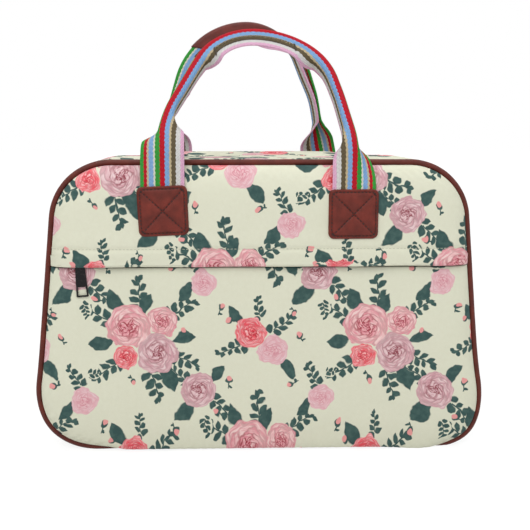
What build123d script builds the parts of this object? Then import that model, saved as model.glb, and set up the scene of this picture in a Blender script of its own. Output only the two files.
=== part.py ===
from build123d import *
import os
from math import cos, hypot, pi, radians, sin, sqrt

# An overnight bag of printed cloth with leather piping, two webbing handles, a zipped top
# and a zipped front pocket under a folded flap. Sizes are in millimetres.
# X runs across the bag, Y from its front to its back, Z up from the floor it stands on.

# Body outline, measured on the two seams that carry the piping
base_half_width = 217.0     # where the slanting side would meet the floor
top_half_width = 189.0      # where it would meet the top
body_height = 280.0         # floor to the top of the piping
seam_spacing = 156.0        # from the front seam to the back seam
bottom_corner_radius = 60.0
top_corner_radius = 56.0

# Piping
piping_radius = 3.0
piping_skin = 0.8
piping_clearance = 0.1
flange_width = 8.0
flange_thickness = 1.2

# Cloth
rim_clearance = 0.2         # between the piping tube and the cloth beside it
gusset_wall = 2.0
gusset_shoulder = 25.0      # width of the rounded strip beside each seam
panel_wall = 1.6
back_crown = 12.0           # how far the back panel stands out of its seam
pocket_crown = 12.0
panel_reach = 34.0          # distance from the seam in which a panel reaches its crown
crown_power = 3.0
crown_steps = (0.0, 0.02, 0.07, 0.17, 0.36, 0.64, 1.0)
inner_wall_thickness = 1.0
lining_wall = 0.8
lining_clearance = 0.3
lining_setback = 2.0        # of the lining's mouth behind the slot for the main zip
board_end_margin = 67.0     # from the end of the body's base to the board
board_side_margin = 10.0    # from the seam to the board
board_thickness = 2.5
board_corner_radius = 12.0

# Flap over the pocket zip
flap_wall = 1.9
flap_edge_height = 180.0    # its free folded edge
flap_seam_width = 3.0
flap_seam_clearance = 3.0   # between the pocket's slider and the seam above it
hem_height = 5.0
hem_clearance = 0.8         # between the pocket's upper edge and the slider

# Zips
tape_thickness = 0.8
tape_width = 11.4
tape_overrun = 7.0
tooth_pitch = 4.0
tooth_width = 1.5
tooth_height = 2.2
tooth_reach = 0.8           # how far a tooth passes the middle of the chain
bead_inner = 1.6
bead_outer = 2.8
slider_length = 9.0
slider_shoulder = 5.0       # half width at its mouth
slider_tail = 3.9           # half width where the closed chain leaves it
slider_plate = 0.9
slider_rail = 0.8
slider_clearance = 0.25
slider_corner = 1.2
post_half_width = 1.0
post_length = 2.8
post_nose = 1.0             # from the wedge's front point to its widest place
post_setback = 0.4
bridge_leg_radius = 0.8
bridge_leg_place = 2.6
bridge_opening = 3.95
bridge_crown = 1.0
pull_thickness = 1.2
pull_length = 35.2
pull_bar = 1.2
pull_eye_length = 5.0
pull_eye_half_width = 1.15
pull_head_half_width = 2.5
pull_neck = 1.4
pull_top_half_width = 4.4
pull_tip_half_width = 5.6
pull_window_length = 8.0
pull_frame = 1.5
pull_corner = 0.9
pull_clearance = 0.25
pull_lean = 4.0             # degrees, as the pocket's pull hangs
stop_length = 1.8
stop_width = 1.6
stop_clearance = 0.3

# Main zip, along the top
strip_margin = 48.0         # from the end of the body's top to the end of the top strips
slot_margin_left = 28.0     # from the end of the top strips to the slot for the zip
slot_margin_right = 11.0
main_slider_margin = 9.0    # from the slot's left end to the middle of the shut slider
main_slot_half_width = 5.6
main_pull_lift = 1.15       # pull's axis above the slider's upper plate

# Pocket zip, behind the flap
pocket_chain_rise = 6.5     # from the flap's free edge to the middle of the chain
pocket_slider_margin = 33.25  # from the body's side to the middle of the shut slider
pocket_chain_margin = 30.25   # from the body's other side to the end of the chain

# Handles. The two legs of an arch lean and curve by different amounts.
handle_half_span = 87.0
handle_rise = 131.5         # from the bag's rim to the top of the arch
webbing_end_margin = 8.0    # from the lower edge of its patch to the end of the webbing
handle_fold_drop = 20.0     # from the rim to where the webbing starts to fold
first_kink_place = 8.5
first_kink_radius = 95.0
second_kink_place = 0.0
second_kink_radius = 60.0
front_first_lean = 33.0     # degrees, how far a leg leans towards the other
front_second_lean = 16.0
front_handle_top = -2.5     # along the bag, from its middle to the top of the arch
front_handle_tip = 32.0     # degrees, towards the bag's middle
back_first_lean = 22.0
back_second_lean = 7.0
back_handle_top = 6.5
back_handle_tip = 4.0
handle_bend_radius = 40.0   # where the arch tips over the rim
rim_lift = 4.0              # from the body's height to where the arch starts to tip
webbing_width = 38.0
webbing_thickness = 2.2
fold_radius = 1.4           # at the middle of the webbing's thickness
fold_end = 36.0             # rise at which the webbing is folded double
fold_segments = 4
grip_half_length = 56.0
grip_thickness = 1.4
grip_width = 19.0
patch_size = 45.5
patch_thickness = 1.6
patch_drop = 48.0           # from the body's height to the middle of the patch
patch_corner_radius = 5.0
patch_clearance = 0.2

# Values that follow from the sizes above
seam_place = seam_spacing / 2
seam_low = piping_radius
seam_high = body_height - piping_radius
side_slope = (base_half_width - top_half_width) / (seam_high - seam_low)
rim_inset = piping_radius + rim_clearance
half_flange = flange_thickness / 2
gusset_bulge = seam_low     # the gusset's flat bottom lies on the floor
board_half_length = base_half_width - board_end_margin
board_half_width = seam_place - board_side_margin
patch_center_height = body_height - patch_drop
handle_lower_end = body_height + rim_lift - (
    patch_center_height - patch_size / 2 + webbing_end_margin)

chain_half_height = tooth_height / 2
slider_channel = chain_half_height + slider_clearance
slider_top = slider_channel + slider_plate
bridge_low = slider_top + bridge_opening
bridge_top = bridge_low + bridge_crown

strip_half_length = top_half_width - strip_margin
main_slot_left = slot_margin_left - strip_half_length
main_slot_right = strip_half_length - slot_margin_right
main_closed_place = main_slot_left + main_slider_margin
pocket_chain_height = flap_edge_height + pocket_chain_rise
pocket_half_width = base_half_width - side_slope * (pocket_chain_height - seam_low)
pocket_closed_place = pocket_slider_margin - pocket_half_width
pocket_chain_right = pocket_half_width - pocket_chain_margin
flap_stitch_height = (
    pocket_chain_height + slider_shoulder + flap_seam_clearance + flap_seam_width / 2)

# Depths of the front's layers, outwards from the front of the seam
pull_back_depth = pocket_crown + pull_clearance
pocket_chain_depth = pull_back_depth + pull_thickness + pull_clearance - bridge_low
tape_front_depth = pocket_chain_depth + tape_thickness / 2
flap_inner_depth = pocket_chain_depth + bridge_top + pull_clearance
flap_outer_depth = flap_inner_depth + flap_wall
pocket_edge_height = pocket_chain_height - slider_shoulder - hem_clearance

main_chain_height = seam_high + gusset_bulge - gusset_wall - tape_thickness / 2
pocket_tape_half = -pocket_closed_place + slider_length / 2 + tape_overrun

parts = {}


def half_width(z, inset=0.0):
    """Half the outline's width at a height, moved inwards by an inset."""
    return base_half_width - side_slope * (z - seam_low) - inset * hypot(1, side_slope)


def outline(inset):
    """The seam's outline as a flat sketch, moved inwards by an inset."""
    low = seam_low + inset
    high = seam_high - inset
    corners = [
        (-half_width(low, inset), low),
        (half_width(low, inset), low),
        (half_width(high, inset), high),
        (-half_width(high, inset), high),
    ]
    face = make_face(Polyline(*corners, close=True))
    face = fillet(face.vertices().sort_by(Axis.Y)[:2], bottom_corner_radius - inset)
    return fillet(face.vertices().sort_by(Axis.Y)[-2:], top_corner_radius - inset)


def upright(y):
    """A plane across the bag at a place along Y, with the sketch's Y pointing up."""
    return Plane(origin=(0, y, 0), x_dir=(1, 0, 0), z_dir=(0, -1, 0))


def depth_place(side, depth):
    """Y of a depth outwards from the seam's face, on the front (-1) or the back (1)."""
    return side * (seam_place + half_flange + depth)


def block(x_range, y_range, z_range):
    """A box between two values on each axis."""
    size = [max(r) - min(r) for r in (x_range, y_range, z_range)]
    middle = [(r[0] + r[1]) / 2 for r in (x_range, y_range, z_range)]
    return Pos(*middle) * Box(*size)


def crowned(side, inset, rim_depth, crown):
    """A pillow-shaped solid whose surface climbs from the seam to its crown."""
    sections = []
    for step in crown_steps:
        climb = (1 - (1 - step) ** crown_power) ** (1 / crown_power)
        depth = rim_depth + (crown - rim_depth) * climb
        sections.append(upright(depth_place(side, depth)) * outline(inset + panel_reach * step))
    return loft(sections, ruled=True)


def crowned_panel(side, rim_depth, crown, wall):
    """A crowned sheet of cloth of one thickness, open towards the inside of the bag."""
    return crowned(side, rim_inset, rim_depth, crown) - crowned(
        side, rim_inset + wall, rim_depth, crown - wall)


def seam_path(y):
    """The seam's closed line, starting at the middle of the bottom."""
    right = FilletPolyline(
        (0, y, seam_low),
        (half_width(seam_low), y, seam_low),
        (half_width(seam_high), y, seam_high),
        (0, y, seam_high),
        radius=[bottom_corner_radius, top_corner_radius],
    )
    left = mirror(right, about=Plane.YZ)
    return Wire(right.edges() + left.edges())


def seam_section(y):
    """A plane across the seam at the bottom, with the sketch's Y pointing into the bag."""
    return Plane(origin=(0, y, seam_low), x_dir=(0, 1, 0), z_dir=(1, 0, 0))


def make_piping(name, side):
    """A leather skin round a cord, with the flat flange that is caught in the seam."""
    y = side * seam_place
    flange_reach = piping_radius + flange_width
    skin = Circle(piping_radius) + Pos(0, flange_reach / 2) * Rectangle(flange_thickness, flange_reach)
    skin -= Circle(piping_radius - piping_skin)
    parts["piping_" + name] = sweep(seam_section(y) * skin, path=seam_path(y))
    core = Circle(piping_radius - piping_skin - piping_clearance)
    parts["piping_cord_" + name] = sweep(seam_section(y) * core, path=seam_path(y))


def gusset_ring():
    """The cloth that runs right round between the two seams, rounded beside each."""
    end = seam_place - half_flange
    flat = end - gusset_shoulder
    rise = gusset_bulge + rim_inset
    radius = (rise ** 2 + gusset_shoulder ** 2) / (2 * rise)

    def place(v, wall):
        """A point of the outer or the inner surface, as a distance into the bag."""
        run = max(0.0, abs(v) - flat)
        return (v, -gusset_bulge + radius - sqrt((radius - wall) ** 2 - run ** 2))

    middle = flat + gusset_shoulder / 2
    edges = []
    for wall in (0.0, gusset_wall):
        edges.append(ThreePointArc(place(-end, wall), place(-middle, wall), place(-flat, wall)))
        edges.append(Line(place(-flat, wall), place(flat, wall)))
        edges.append(ThreePointArc(place(flat, wall), place(middle, wall), place(end, wall)))
    edges.append(Line(place(-end, 0.0), place(-end, gusset_wall)))
    edges.append(Line(place(end, 0.0), place(end, gusset_wall)))
    return sweep(seam_section(0) * make_face(edges), path=seam_path(0))


def make_body():
    """The cloth panels, the gusset, the lining and the board in the bottom."""
    ring = gusset_ring()
    above = (body_height / 2, body_height * 2)
    length = (-strip_half_length, strip_half_length)
    parts["side_bottom_gusset"] = ring - block(length, (-seam_spacing, seam_spacing), above)
    slot = block((main_slot_left, main_slot_right),
                 (-main_slot_half_width, main_slot_half_width), above)
    for name, side in (("front", -1), ("back", 1)):
        parts["top_strip_" + name] = ring & block(length, sorted((0, side * seam_spacing)), above)
        parts["top_strip_" + name] -= slot

    parts["back_panel"] = crowned_panel(1, 0.0, back_crown, panel_wall)
    wall = extrude(outline(rim_inset), inner_wall_thickness)
    parts["front_inner_wall"] = upright(depth_place(-1, 0)) * wall

    inset = rim_inset + gusset_wall + lining_clearance
    half = seam_place - half_flange - lining_clearance
    lining = extrude(outline(inset), half, both=True)
    lining -= extrude(outline(inset + lining_wall), half - lining_wall, both=True)
    mouth = block((main_slot_left - tape_overrun, main_slot_right + tape_overrun),
                  (-main_slot_half_width - lining_setback, main_slot_half_width + lining_setback),
                  above)
    parts["lining"] = upright(0) * lining - mouth

    board = RectangleRounded(2 * board_half_length, 2 * board_half_width, board_corner_radius)
    lining_floor = seam_low + inset
    parts["base_board"] = Pos(0, 0, lining_floor - lining_clearance - board_thickness) * extrude(
        board, board_thickness)


def make_front():
    """The upper panel with its flap, and the pocket panel below it."""
    wide = (-2 * base_half_width, 2 * base_half_width)
    high = 2 * body_height
    far = 2 * flap_outer_depth
    seam = (-pocket_tape_half, pocket_tape_half)

    def depth_range(near, outer):
        return sorted((depth_place(-1, near), depth_place(-1, outer)))

    upper = crowned_panel(-1, inner_wall_thickness, flap_outer_depth, flap_wall)
    upper &= block(wide, depth_range(0, far), (flap_edge_height, high))
    upper -= block(wide, depth_range(0, flap_inner_depth),
                   (0, pocket_edge_height + pull_clearance))
    half_seam = flap_seam_width / 2
    upper += block(seam, depth_range(tape_front_depth, flap_inner_depth),
                   (flap_stitch_height - half_seam, flap_stitch_height + half_seam))
    parts["front_upper_panel"] = upper

    pocket = crowned_panel(-1, inner_wall_thickness, pocket_crown, panel_wall)
    pocket &= block(wide, depth_range(0, far), (0, pocket_edge_height))
    pocket += block(seam, depth_range(tape_front_depth, pocket_crown - panel_wall),
                    (pocket_edge_height - hem_height, pocket_edge_height))
    parts["front_pocket_panel"] = pocket


def tooth_row(length, first):
    """A bead with its teeth, along X from 0, its teeth pointing to -Y."""
    points = [(0, bead_outer), (0, bead_inner)]
    place = first
    while place + tooth_width < length:
        points += [(place, bead_inner), (place, -tooth_reach),
                   (place + tooth_width, -tooth_reach), (place + tooth_width, bead_inner)]
        place += tooth_pitch
    points += [(length, bead_inner), (length, bead_outer)]
    row = extrude(make_face(Polyline(*points, close=True)), chain_half_height, both=True)
    return row


def slider_body():
    """Two plates joined by a wedge at the mouth, side rails and a bridge for the pull."""
    half = slider_length / 2
    shape = make_face(Polyline((-half, -slider_shoulder), (half, -slider_tail),
                               (half, slider_tail), (-half, slider_shoulder), close=True))
    shape = fillet(shape.vertices(), slider_corner)
    plate = extrude(shape, slider_plate)
    body = Pos(0, 0, slider_channel) * plate + Pos(0, 0, -slider_top) * plate
    rail_low = tape_thickness / 2 + slider_clearance
    rim = shape - offset(shape, -slider_rail)
    for sign in (-1, 1):
        beside = sorted((sign * (bead_outer + slider_clearance), sign * 2 * slider_shoulder))
        lateral = block((-half, half), beside, (-slider_top, slider_top))
        rail = extrude(rim, slider_channel - rail_low)
        body += (Pos(0, 0, rail_low) * rail) & lateral
        body += (Pos(0, 0, -slider_channel) * rail) & lateral
    mouth = -half + post_setback
    post = make_face(Polyline((mouth, 0), (mouth + post_nose, post_half_width),
                              (mouth + post_length, 0), (mouth + post_nose, -post_half_width),
                              close=True))
    body += extrude(post, slider_channel, both=True)
    for sign in (-1, 1):
        leg = Cylinder(bridge_leg_radius, bridge_opening + bridge_crown)
        height = slider_top + (bridge_opening + bridge_crown) / 2
        body += Pos(sign * bridge_leg_place, 0, height) * leg
    bar = SlotOverall(2 * (bridge_leg_place + bridge_leg_radius), 2 * bridge_leg_radius)
    body += Pos(0, 0, bridge_low) * extrude(bar, bridge_crown)
    return body


def pull_body():
    """A flat pull along +X, its bar on the origin, with an eye and a window near its tip."""
    head_end = pull_bar / 2 + pull_eye_length + pull_neck
    tip = pull_length - pull_bar / 2
    head = Pos((head_end - pull_bar / 2) / 2, 0) * RectangleRounded(
        head_end + pull_bar / 2, 2 * pull_head_half_width, pull_corner)
    blade = make_face(Polyline((head_end - pull_neck / 2, -pull_top_half_width),
                               (tip, -pull_tip_half_width), (tip, pull_tip_half_width),
                               (head_end - pull_neck / 2, pull_top_half_width), close=True))
    blade = fillet(blade.vertices(), pull_corner)
    window_start = tip - pull_frame - pull_window_length

    def blade_half_width(x):
        share = (x - head_end) / (tip - head_end)
        return pull_top_half_width + (pull_tip_half_width - pull_top_half_width) * share

    window_end = tip - pull_frame
    window = make_face(Polyline(
        (window_start, pull_frame - blade_half_width(window_start)),
        (window_end, pull_frame - blade_half_width(window_end)),
        (window_end, blade_half_width(window_end) - pull_frame),
        (window_start, blade_half_width(window_start) - pull_frame), close=True))
    eye = Pos(pull_bar / 2 + pull_eye_length / 2, 0) * Rectangle(
        pull_eye_length, 2 * pull_eye_half_width)
    return extrude(head + blade - window - eye, pull_thickness / 2, both=True)


def make_zip(prefix, sides, place, turn, closed, chain_right, tape_left, tape_right):
    """Tapes, teeth, stops and slider of one zip, put in place by a location."""
    chain_left = closed - slider_length / 2 + post_setback + post_length + stop_clearance
    length = chain_right - chain_left
    tape_x = (tape_left, tape_right)
    stop_left = closed - slider_length / 2 - stop_clearance - stop_length
    stop_x = (stop_left, stop_left + stop_length)
    height = (-chain_half_height, chain_half_height)
    for name, sign in sides:
        tape = block(tape_x, sorted((sign * bead_outer, sign * (bead_outer + tape_width))),
                     (-tape_thickness / 2, tape_thickness / 2))
        parts[prefix + "_tape_" + name] = place * turn * tape
        row = tooth_row(length, tooth_pitch / 4 + (tooth_pitch / 2 if sign < 0 else 0))
        row = Pos(chain_left, 0, 0) * row
        if sign < 0:
            row = mirror(row, about=Plane.XZ)
        parts[prefix + "_teeth_" + name] = place * turn * row
        stop = block(stop_x, sorted((sign * (bead_outer - stop_width), sign * bead_outer)), height)
        parts[prefix + "_top_stop_" + name] = place * turn * stop
    bottom = block((chain_right, chain_right + stop_length), (-bead_outer, bead_outer), height)
    parts[prefix + "_bottom_stop"] = place * turn * bottom
    parts[prefix + "_slider"] = place * turn * Pos(closed, 0, 0) * slider_body()


def make_zips():
    """The main zip along the top and the pocket's zip behind the flap, with their pulls."""
    top = Pos(0, 0, main_chain_height)
    main_right = main_slot_right - stop_length
    make_zip("main_zip", (("front", -1), ("back", 1)), top, Rot(0, 0, 0), main_closed_place,
             main_right, main_slot_left - tape_overrun, main_slot_right + tape_overrun)
    lift = slider_top + main_pull_lift
    parts["main_zip_pull"] = top * Pos(main_closed_place, 0, lift) * pull_body()

    front = Pos(0, depth_place(-1, pocket_chain_depth), pocket_chain_height)
    outwards = Rot(90, 0, 0)    # the zip's upper side faces the front
    make_zip("pocket_zip", (("lower", -1), ("upper", 1)), front, outwards, pocket_closed_place,
             pocket_chain_right, -pocket_tape_half, pocket_tape_half)
    pivot = Pos(pocket_closed_place - bridge_leg_place, 0, 0)
    hang = Rot(0, 0, pull_lean - 90)
    drop = Pos(-pull_bar / 2 - bridge_leg_radius - pull_clearance, 0,
               bridge_low - pull_clearance - pull_thickness / 2)
    parts["pocket_zip_pull"] = front * outwards * pivot * hang * drop * pull_body()


def arch_leg(top, lean, kink_place, kink_radius):
    """Points of one leg from its lower end to the top of the arch: x, rise and heading."""
    span = handle_half_span + top
    kink_x = span - kink_radius * (1 - cos(lean))
    kink_rise = kink_place + kink_radius * sin(lean)
    radius = (kink_x * cos(lean) + (kink_rise - handle_rise) * sin(lean)) / (1 - sin(lean))
    leg = ((handle_rise - radius + radius * sin(lean)) - kink_rise) / cos(lean)
    # each run: its length, how far it turns inwards, and how many steps it takes
    runs = [(handle_lower_end - handle_fold_drop, 0.0, 1), (handle_fold_drop + kink_place, 0.0, 4),
            (kink_radius * lean, lean, 5), (leg, 0.0, 6), (radius * (pi / 2 - lean), pi / 2 - lean, 7)]
    x, rise, heading = -span, -handle_lower_end, 0.0
    points = [(x, rise, heading)]
    for length, turn, steps in runs:
        for _ in range(steps):
            heading += turn / steps / 2
            x += length / steps * sin(heading)
            rise += length / steps * cos(heading)
            heading += turn / steps / 2
            points.append((x, rise, heading))
    shift = x
    return [(x - shift * max(0.0, r) / rise + top, r, h) for x, r, h in points]


def arch_stations(top, first_lean, second_lean):
    """Points of the flat handle from its first end to its second."""
    first = arch_leg(top, radians(first_lean), first_kink_place, first_kink_radius)
    second = arch_leg(-top, radians(second_lean), second_kink_place, second_kink_radius)
    return first + [(-x, rise, pi - heading) for x, rise, heading in reversed(second[:-1])]


def tipped(x, rise, tip):
    """A point of the flat handle after it tips over the rim, with its two directions."""
    angle = min(max(rise / handle_bend_radius, 0.0), tip)
    beyond = max(0.0, rise - handle_bend_radius * tip)
    y = handle_bend_radius * (1 - cos(angle)) + beyond * sin(tip)
    z = min(rise, 0.0) + handle_bend_radius * sin(angle) + beyond * cos(tip)
    return Vector(x, y, z), Vector(0, sin(angle), cos(angle))


def handle_frame(station, tip):
    """Place, outward direction and front direction of the webbing at a station."""
    x, rise, heading = station
    point, up = tipped(x, rise, tip)
    along = Vector(1, 0, 0) * sin(heading) + up * cos(heading)
    outward = up * sin(heading) - Vector(1, 0, 0) * cos(heading)
    return point, outward, along.cross(outward)


def webbing_section(fold):
    """Corners of the webbing's section, from flat (0) to folded double (1)."""
    half_arc = pi * fold_radius / 2
    leaf = webbing_width / 2 - half_arc
    bend = pi * fold
    middle = webbing_thickness / 2
    near_edge = -webbing_width / 2 + fold * webbing_width / 4
    points = [(near_edge, middle, 0.0)]
    x, y, angle = near_edge + leaf, middle, 0.0
    points.append((x, y, angle))
    step = 2 * half_arc / fold_segments
    for _ in range(fold_segments):
        angle += bend / fold_segments / 2
        x += step * cos(angle)
        y -= step * sin(angle)
        angle += bend / fold_segments / 2
        points.append((x, y, angle))
    points.append((x + leaf * cos(angle), y - leaf * sin(angle), angle))
    outer = [(x + middle * sin(a), y + middle * cos(a)) for x, y, a in points]
    inner = [(x - middle * sin(a), y - middle * cos(a)) for x, y, a in points]
    return outer + inner[::-1]


def lofted(stations, section_at, tip, base):
    """A solid through sections that stand across the handle's line."""
    faces = []
    for station in stations:
        point, outward, front = handle_frame(station, tip)
        corners = [base + point + outward * w + front * n for w, n in section_at(station)]
        faces.append(make_face(Polyline(*corners, close=True)))
    return loft(faces, ruled=True)


def make_handle(name, side, crown, tip_degrees, stations):
    """A webbing handle, flat at its ends and folded double above, with grip and patches."""
    tip = radians(tip_degrees)
    base = Vector(0, depth_place(-1, crown), body_height + rim_lift)
    turn = Rot(0, 0, 0) if side < 0 else Rot(0, 0, 180)

    def fold_at(station):
        share = (station[1] + handle_fold_drop) / (fold_end + handle_fold_drop)
        share = min(max(share, 0.0), 1.0)
        return share * share * (3 - 2 * share)

    strap = lofted(stations, lambda s: webbing_section(fold_at(s)), tip, base)
    parts["handle_" + name] = turn * strap

    back = min(height for _, height in webbing_section(1.0))
    grip_section = [(-grip_width / 2, back), (grip_width / 2, back),
                    (grip_width / 2, back - grip_thickness), (-grip_width / 2, back - grip_thickness)]
    on_grip = [s for s in stations if abs(s[0]) < grip_half_length and s[1] > 0]
    parts["grip_" + name] = turn * lofted(on_grip, lambda s: grip_section, tip, base)

    plate = RectangleRounded(patch_size, patch_size, patch_corner_radius)
    depth = webbing_thickness + patch_thickness
    channel = Rectangle(webbing_width + 2 * patch_clearance, 2 * patch_size)
    patch = extrude(plate, depth) - extrude(channel, webbing_thickness)
    for place, sign in (("left", -1), ("right", 1)):
        spot = upright(depth_place(-1, crown)) * Pos(sign * handle_half_span, patch_center_height)
        parts["patch_" + name + "_" + place] = turn * spot * patch


make_body()
make_front()
make_zips()
make_piping("front", -1)
make_piping("back", 1)
make_handle("front", -1, flap_outer_depth, front_handle_tip,
            arch_stations(front_handle_top, front_first_lean, front_second_lean))
make_handle("back", 1, back_crown, back_handle_tip,
            arch_stations(back_handle_top, back_first_lean, back_second_lean))

os.makedirs("parts", exist_ok=True)
for name, part in parts.items():
    export_step(part, "parts/" + name + ".step")
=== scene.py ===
from math import atan, cos, hypot, pi, radians, sin

import bmesh
import bpy
import numpy as np
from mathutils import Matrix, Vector


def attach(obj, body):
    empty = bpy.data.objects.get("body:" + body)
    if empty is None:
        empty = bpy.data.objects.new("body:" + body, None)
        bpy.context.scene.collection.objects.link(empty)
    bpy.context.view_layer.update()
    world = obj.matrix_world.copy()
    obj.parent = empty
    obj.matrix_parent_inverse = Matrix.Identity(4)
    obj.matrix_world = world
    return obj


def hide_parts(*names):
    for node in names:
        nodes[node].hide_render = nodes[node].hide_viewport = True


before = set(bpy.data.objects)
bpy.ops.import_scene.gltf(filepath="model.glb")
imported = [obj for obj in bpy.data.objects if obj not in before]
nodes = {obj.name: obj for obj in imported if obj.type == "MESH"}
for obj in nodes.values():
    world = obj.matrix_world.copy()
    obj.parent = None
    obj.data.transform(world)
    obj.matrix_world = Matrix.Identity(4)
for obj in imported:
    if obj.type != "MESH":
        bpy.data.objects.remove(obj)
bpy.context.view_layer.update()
mm = 0.001
print("frame loaded:", len(nodes), "nodes")

# Camera and light

picture = {
    "place": (-0.0462, -0.7613, 0.3105),
    "pitch": 8.0,          # degrees down
    "yaw": 1.43,           # degrees to the right
    "lens": 49.99,
    "shiftX": 0.0673,
    "shiftY": -0.0672,
}
camera = bpy.data.objects.new("camera", bpy.data.cameras.new("camera"))
camera.location = picture["place"]
camera.rotation_euler = (radians(90 - picture["pitch"]), 0, radians(-picture["yaw"]))
camera.data.lens = picture["lens"]
camera.data.shift_x = picture["shiftX"]
camera.data.shift_y = picture["shiftY"]
bpy.context.scene.collection.objects.link(camera)
bpy.context.scene.camera = camera
bpy.context.scene.view_settings.view_transform = "Standard"


# Shader maths

class Wire:
    def __init__(self, tree, socket):
        self.tree = tree
        self.socket = socket

    def calc(self, operation, *others):
        return addNode(self.tree, "ShaderNodeMath", [self, *others], operation=operation)

    def __add__(self, other):
        return self.calc("ADD", other)

    def __sub__(self, other):
        return self.calc("SUBTRACT", other)

    def __mul__(self, other):
        return self.calc("MULTIPLY", other)

    def __truediv__(self, other):
        return self.calc("DIVIDE", other)

    def __rsub__(self, other):
        return addNode(self.tree, "ShaderNodeMath", [other, self], operation="SUBTRACT")

    def __neg__(self):
        return self.calc("MULTIPLY", -1.0)

    __radd__ = __add__
    __rmul__ = __mul__


def addNode(tree, kind, inputs=(), output=0, stops=None, **settings):
    node = tree.nodes.new(kind)
    for key, value in settings.items():
        setattr(node, key, value)
    if stops:
        ramp = node.color_ramp
        while len(ramp.elements) < len(stops):
            ramp.elements.new(1.0)
        for element, (place, colour) in zip(ramp.elements, stops):
            element.position = place
            element.color = colour
    pairs = inputs.items() if isinstance(inputs, dict) else enumerate(inputs)
    for key, value in pairs:
        if isinstance(value, Wire):
            tree.links.new(value.socket, node.inputs[key])
        elif value is not None:
            node.inputs[key].default_value = value
    return Wire(tree, node.outputs[output] if len(node.outputs) else None)


def paint(red, green, blue):
    channels = [c / 255 for c in (red, green, blue)]
    return (*[c / 12.92 if c <= 0.04045 else ((c + 0.055) / 1.055) ** 2.4 for c in channels], 1.0)


def mixPaint(share, first, second, blend="MIX"):
    return addNode(share.tree, "ShaderNodeMix", {0: share, 6: first, 7: second}, output=2,
                   data_type="RGBA", blend_type=blend)


def mixPlace(share, first, second):
    return addNode(share.tree, "ShaderNodeMix", {0: share, 4: first, 5: second}, output=1,
                   data_type="VECTOR")


def vectorMath(operation, *inputs, output=0):
    return addNode(inputs[0].tree, "ShaderNodeVectorMath", list(inputs), output=output,
                   operation=operation)


def scaled(vector, factor):
    return addNode(vector.tree, "ShaderNodeVectorMath", {0: vector, 3: factor}, operation="SCALE")


def combined(x, y, z=0.0):
    tree = (x if isinstance(x, Wire) else y).tree
    return addNode(tree, "ShaderNodeCombineXYZ", [x, y, z])


def split(vector):
    first = addNode(vector.tree, "ShaderNodeSeparateXYZ", [vector])
    outputs = first.socket.node.outputs
    return [Wire(vector.tree, outputs[i]) for i in range(3)]


def clamped(value):
    return addNode(value.tree, "ShaderNodeClamp", [value])


def noise(vector, scale, detail=2.0, roughness=0.5, output=0):
    return addNode(vector.tree, "ShaderNodeTexNoise",
                   {"Vector": vector, "Scale": scale, "Detail": detail, "Roughness": roughness},
                   output=output)


def newMaterial(name):
    material = bpy.data.materials.new(name)
    material.use_nodes = True
    material.node_tree.nodes.clear()
    return material, material.node_tree


def finishMaterial(tree, colour, roughness, height=None, bumpDepth=0.1, bumpStrength=1.0, **constants):
    inputs = {"Base Color": colour, "Roughness": roughness}
    inputs.update(constants)
    if height is not None:
        inputs["Normal"] = addNode(tree, "ShaderNodeBump", {
            "Strength": bumpStrength, "Distance": bumpDepth * mm, "Height": height})
    shader = addNode(tree, "ShaderNodeBsdfPrincipled", inputs)
    addNode(tree, "ShaderNodeOutputMaterial", [shader])


def objectPlace(tree):
    return scaled(addNode(tree, "ShaderNodeTexCoord", output=3), 1000.0)


def sheetPlace(tree):
    return scaled(addNode(tree, "ShaderNodeUVMap", uv_map="cloth"), 1000.0)


# Printed canvas

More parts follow.
